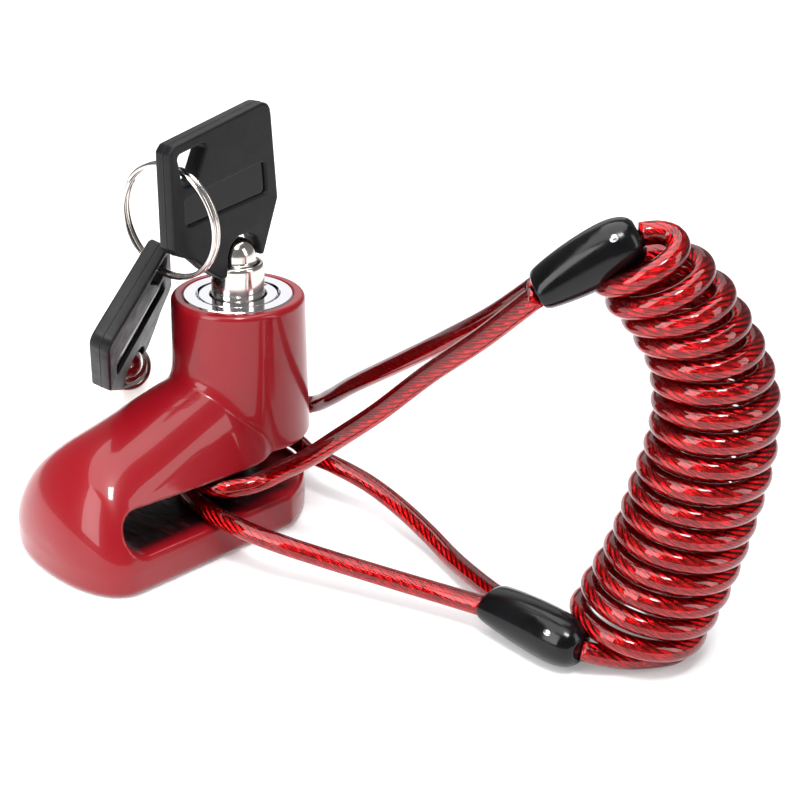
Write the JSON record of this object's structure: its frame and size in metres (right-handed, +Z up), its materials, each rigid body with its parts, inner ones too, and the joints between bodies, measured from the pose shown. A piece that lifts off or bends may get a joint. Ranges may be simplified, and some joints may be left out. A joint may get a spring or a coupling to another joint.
{
  "type": "push-type motorcycle disc brake lock with tubular keys and a coiled reminder cable",
  "caption": "Push-type motorcycle disc brake lock: red shoe and tower, tubular key in a spring-up plunger, spare key on a split ring, and a coiled red reminder cable.",
  "frame": {"origin": "on the flat base, under the axis of the tower and locking pin", "axes": "+Z up along the locking pin and plunger; +X from the nose towards the open end of the disc slot; -Y is the side the cable leaves from"},
  "size_m": [0.0723, 0.126, 0.0748],
  "materials": {
    "red_gloss_paint": "deep red gloss paint on die-cast zinc",
    "chrome_plate": "polished chrome plate",
    "nickel": "bright nickel plate",
    "steel": "ground steel",
    "spring_steel": "drawn spring wire",
    "brass": "machined brass",
    "aluminium": "pressed, dull",
    "black_key_plastic": "matt black moulding with a fine grain",
    "black_sleeve": "smooth glossy black",
    "red_cable": "clear red PVC over twisted steel wire"
  },
  "bodies": {
    "body": {"lock_body": "red_gloss_paint", "retaining_pin": "steel", "return_spring": "spring_steel", "upper_sleeve": "black_sleeve", "lower_sleeve": "black_sleeve", "upper_ferrule": "aluminium", "lower_ferrule": "aluminium", "upper_loop_cable": "red_cable", "lower_loop_cable": "red_cable", "upper_coil_lead": "red_cable", "lower_coil_lead": "red_cable", "cable_coil": "red_cable"},
    "plunger": {"plunger_barrel": "chrome_plate", "cylinder_shell": "chrome_plate", "pin_block": "brass", "driver_pins": "brass", "pin_springs": "spring_steel", "locking_pin": "steel"},
    "latch": {"latch_tongue": "steel"},
    "plug": {"plug_rotor": "nickel", "rotor_clip": "spring_steel", "tail_cam": "brass", "key_pins": "brass"},
    "key": {"key_head": "black_key_plastic", "key_tube": "nickel"},
    "ring": {"split_ring": "nickel"},
    "spare_key": {"spare_key_head": "black_key_plastic", "spare_key_tube": "nickel"}
  },
  "joints": [
    {"name": "plunger_slide", "type": "slide", "parent": "body", "child": "plunger", "axis": [0, 0, 1], "range_m": [0, 0.0127], "deforming": ["return_spring"]},
    {"name": "key_turn", "type": "hinge", "parent": "plunger", "child": "plug", "pos_m": [0, 0, 0.036], "axis": [0, 0, -1], "range_deg": [0, 90]},
    {"name": "latch_slide", "type": "slide", "parent": "plunger", "child": "latch", "axis": [1, 0, 0], "range_m": [0, 0.00101]},
    {"name": "key_pull", "type": "slide", "parent": "plug", "child": "key", "axis": [0, 0, 1], "range_m": [0, 0.012]},
    {"name": "ring_swing", "type": "hinge", "parent": "key", "child": "ring", "pos_m": [-0.01216, -0.00107, 0.0659], "axis": [-0.2221, 0.9134, 0.3411], "range_deg": [0, 60]},
    {"name": "spare_key_swing", "type": "hinge", "parent": "ring", "child": "spare_key", "pos_m": [-0.0133, 0.00724, 0.04782], "axis": [-0.212, 0.8432, 0.4941], "range_deg": [-10, 20]}
  ],
  "couplings": [
    {"joint": "latch_slide", "follows": "key_turn", "m_per_rad": 0.0006366}
  ]
}
